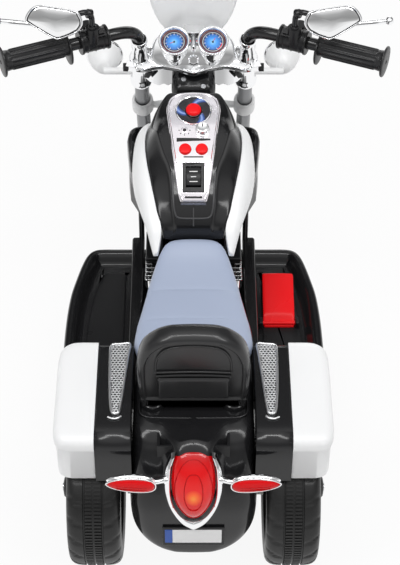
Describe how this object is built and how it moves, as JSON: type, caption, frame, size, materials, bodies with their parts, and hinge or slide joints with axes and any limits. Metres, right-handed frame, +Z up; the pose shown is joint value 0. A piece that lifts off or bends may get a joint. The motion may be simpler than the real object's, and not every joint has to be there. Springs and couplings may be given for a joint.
{
  "type": "kids electric motorbike",
  "caption": "Ride-on electric chopper tricycle for a small child, with footboards, saddlebags, a low seat with a backrest, swept handlebar, mirrors, gauges and a pedal.",
  "frame": {"origin": "on the floor under the middle of the machine", "axes": "+Y forward, +X to the rider's right, +Z up"},
  "size_m": [0.53, 0.84, 0.5981],
  "materials": {
    "black_gloss": "glossy moulded black",
    "black_satin": "satin moulded black",
    "white_gloss": "glossy moulded white",
    "chrome_plate": "vacuum-plated plastic",
    "silver_panel": "silver plated panel",
    "seat_blue": "satin blue-grey",
    "wheel_black": "moulded black plastic tyre",
    "grip_rubber": "ribbed black rubber",
    "fork_grey": "satin grey tube",
    "steel": "plain steel",
    "red_plastic": "glossy red",
    "red_lens": "clear red lens",
    "clear_lens": "clear lens",
    "frosted_shield": "milky translucent sheet",
    "dial_blue": "printed dial",
    "mirror_glass": "silvered sheet",
    "plate_white": "blank plate",
    "battery_grey": "battery case",
    "gear_white": "nylon gear"
  },
  "bodies": {
    "chassis": {"main_frame": "black_satin", "steering_neck": "black_satin", "tank_cover": "black_gloss", "tank_side_left": "white_gloss", "tank_side_right": "white_gloss", "control_panel": "silver_panel", "switch_bezel": "black_satin", "audio_socket": "black_satin", "seat": "seat_blue", "backrest": "black_gloss", "rear_body": "black_gloss", "rear_fenders": "black_gloss", "saddlebag_left": "white_gloss", "saddlebag_right": "white_gloss", "grilles": "chrome_plate", "tail_light_bezel": "chrome_plate", "tail_light_lens": "red_lens", "tail_light_bulb": "clear_lens", "turn_signals": "chrome_plate", "turn_signal_lenses": "red_lens", "number_plate": "plate_white", "footboard_left": "black_satin", "footboard_right": "black_satin", "engine_covers": "chrome_plate", "battery": "battery_grey", "motor": "steel", "gearbox_housing": "black_satin", "rear_axle": "steel", "sound_module": "battery_grey", "fasteners": "steel"},
    "steering": {"fork_tubes": "fork_grey", "front_axle": "steel", "lower_yoke": "white_gloss", "upper_yoke": "chrome_plate", "handlebar": "black_gloss", "grips": "grip_rubber", "lever_mounts": "black_satin", "levers": "chrome_plate", "gauge_dials": "dial_blue", "light_bar": "chrome_plate", "lamp_housings": "white_gloss", "lamp_lenses": "clear_lens", "windshield": "frosted_shield", "front_fender": "white_gloss"},
    "front_wheel": {"front_wheel": "wheel_black"},
    "rear_wheel_left": {"rear_wheel_left": "wheel_black"},
    "rear_wheel_right": {"rear_wheel_right": "wheel_black", "drive_gear": "gear_white"},
    "idler": {"idler_gear": "gear_white"},
    "motor_rotor": {"motor_pinion": "steel"},
    "mirror_left": {"mirror_left": "chrome_plate", "mirror_glass_left": "mirror_glass"},
    "mirror_right": {"mirror_right": "chrome_plate", "mirror_glass_right": "mirror_glass"},
    "engine_button": {"engine_button": "red_plastic"},
    "music_button_left": {"music_button_left": "red_plastic"},
    "music_button_right": {"music_button_right": "red_plastic"},
    "volume_knob": {"volume_knob": "chrome_plate"},
    "rocker": {"rocker": "black_satin"},
    "accelerator_pedal": {"accelerator_pedal": "red_plastic"}
  },
  "joints": [
    {"name": "steering", "type": "hinge", "parent": "chassis", "child": "steering", "pos_m": [0, 0.30404, 0.10012], "axis": [0, -0.4067, 0.9135], "range_deg": [-25, 25]},
    {"name": "front_wheel_spin", "type": "hinge", "parent": "steering", "child": "front_wheel", "pos_m": [0, 0.315, 0.105], "axis": [1, 0, 0], "continuous": true},
    {"name": "rear_wheel_left_spin", "type": "hinge", "parent": "chassis", "child": "rear_wheel_left", "pos_m": [-0.124, -0.315, 0.1], "axis": [1, 0, 0], "continuous": true},
    {"name": "rear_wheel_right_spin", "type": "hinge", "parent": "chassis", "child": "rear_wheel_right", "pos_m": [0.124, -0.315, 0.1], "axis": [1, 0, 0], "continuous": true},
    {"name": "idler_spin", "type": "hinge", "parent": "chassis", "child": "idler", "pos_m": [0, -0.27937, 0.12495], "axis": [1, 0, 0], "continuous": true},
    {"name": "motor_spin", "type": "hinge", "parent": "chassis", "child": "motor_rotor", "pos_m": [0, -0.25198, 0.13077], "axis": [1, 0, 0], "continuous": true},
    {"name": "pedal_press", "type": "hinge", "parent": "chassis", "child": "accelerator_pedal", "pos_m": [0.119, -0.047, 0.126], "axis": [1, 0, 0], "range_deg": [-7, 0], "stiffness_Nm_per_rad": 0.6, "springref_deg": 11.46},
    {"name": "engine_button_press", "type": "slide", "parent": "chassis", "child": "engine_button", "axis": [0, 0.225, -0.9743], "range_m": [0, 0.0025], "stiffness_N_per_m": 400, "springref_m": -0.002},
    {"name": "music_button_left_press", "type": "slide", "parent": "chassis", "child": "music_button_left", "axis": [0, 0.327, -0.945], "range_m": [0, 0.002], "stiffness_N_per_m": 300, "springref_m": -0.002},
    {"name": "music_button_right_press", "type": "slide", "parent": "chassis", "child": "music_button_right", "axis": [0, 0.327, -0.945], "range_m": [0, 0.002], "stiffness_N_per_m": 300, "springref_m": -0.002},
    {"name": "volume_turn", "type": "hinge", "parent": "chassis", "child": "volume_knob", "pos_m": [0.012, 0.0654, 0.37943], "axis": [0, -0.327, 0.945], "range_deg": [-140, 140]},
    {"name": "rocker_tilt", "type": "hinge", "parent": "chassis", "child": "rocker", "pos_m": [0, 0.00141, 0.3517], "axis": [1, 0, 0], "range_deg": [-10, 10]},
    {"name": "mirror_left_swivel", "type": "hinge", "parent": "steering", "child": "mirror_left", "pos_m": [-0.1315, 0.11421, 0.53508], "axis": [0, 0, 1], "range_deg": [-30, 30]},
    {"name": "mirror_right_swivel", "type": "hinge", "parent": "steering", "child": "mirror_right", "pos_m": [0.1315, 0.11421, 0.53508], "axis": [0, 0, 1], "range_deg": [-30, 30]}
  ],
  "couplings": [
    {"joint": "idler_spin", "follows": "rear_wheel_right_spin", "ratio": -3.8333},
    {"joint": "motor_spin", "follows": "rear_wheel_right_spin", "ratio": 14.056}
  ]
}
